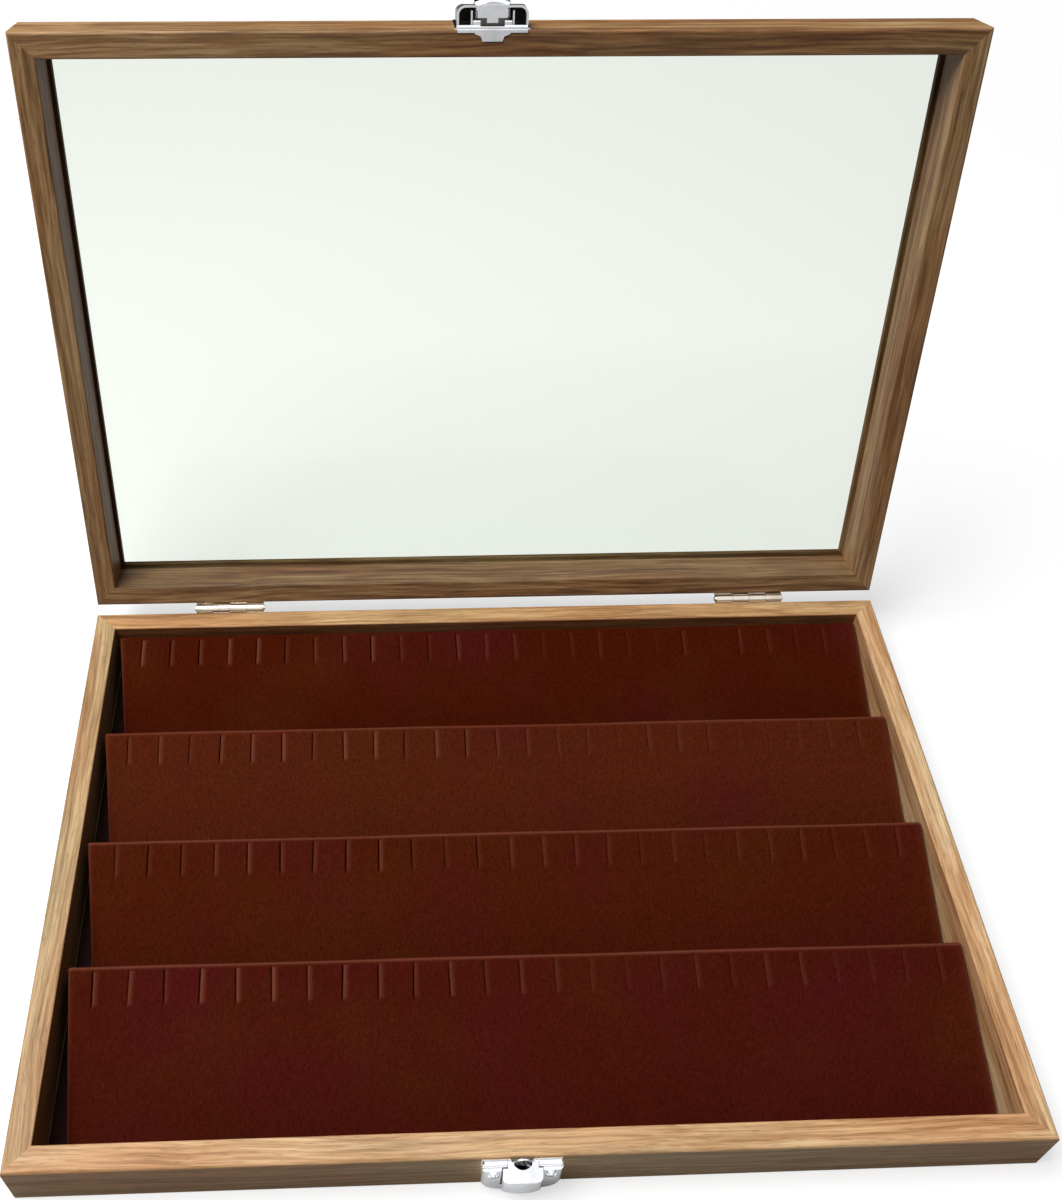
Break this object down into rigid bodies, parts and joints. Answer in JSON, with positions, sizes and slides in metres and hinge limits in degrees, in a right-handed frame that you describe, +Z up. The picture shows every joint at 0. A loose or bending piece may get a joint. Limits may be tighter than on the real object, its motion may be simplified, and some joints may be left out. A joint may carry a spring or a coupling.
{
  "type": "stackable jewelry box",
  "caption": "Flat wooden display box for jewelry with a hinged glass lid, a sprung front latch and slanted suede tiers slotted for earring cards.",
  "frame": {"origin": "middle of the case's underside", "axes": "+X to the right along the case's long front, +Y from the front to the hinged rear, +Z up"},
  "size_m": [0.35, 0.3323, 0.2663],
  "materials": {
    "wood": "satin lacquered veneer, straight grain along each rail",
    "panel_board": "thin plain board",
    "card": "matte",
    "suede": "napped suede on board",
    "glass": "clear, polished",
    "nickel": "bright nickel plating",
    "chrome": "bright plating on pressed sheet",
    "spring_steel": "drawn wire"
  },
  "bodies": {
    "case_base": {"base_bottom_panel": "panel_board", "base_front_rail": "wood", "base_hinge_screws": "nickel", "base_left_rail": "wood", "base_rear_rail": "wood", "base_right_rail": "wood", "hinge_left_base_leaf": "nickel", "hinge_left_pin": "nickel", "hinge_right_base_leaf": "nickel", "hinge_right_pin": "nickel", "insert_base_card": "card", "insert_tier_1": "suede", "insert_tier_2": "suede", "insert_tier_3": "suede", "insert_tier_4": "suede", "latch_pivot_pin": "chrome", "latch_plate": "chrome", "latch_plate_screws": "chrome"},
    "lid": {"catch_housing": "chrome", "catch_plate": "chrome", "catch_screws": "chrome", "hinge_left_lid_leaf": "nickel", "hinge_right_lid_leaf": "nickel", "lid_front_rail": "wood", "lid_glass": "glass", "lid_hinge_screws": "nickel", "lid_left_rail": "wood", "lid_rear_rail": "wood", "lid_right_rail": "wood"},
    "latch_lever": {"latch_lever": "chrome", "latch_spring": "spring_steel"}
  },
  "joints": [
    {"name": "lid_hinge", "type": "hinge", "parent": "case_base", "child": "lid", "pos_m": [0.0015, 0.1221, 0.0235], "axis": [1, 0, 0], "range_deg": [0, 105]},
    {"name": "latch_pivot", "type": "hinge", "parent": "case_base", "child": "latch_lever", "pos_m": [-0.0048, -0.1216, 0.0232], "axis": [-1, 0, 0], "range_deg": [0, 15], "stiffness_Nm_per_rad": 0.01, "springref_deg": -11.46}
  ]
}
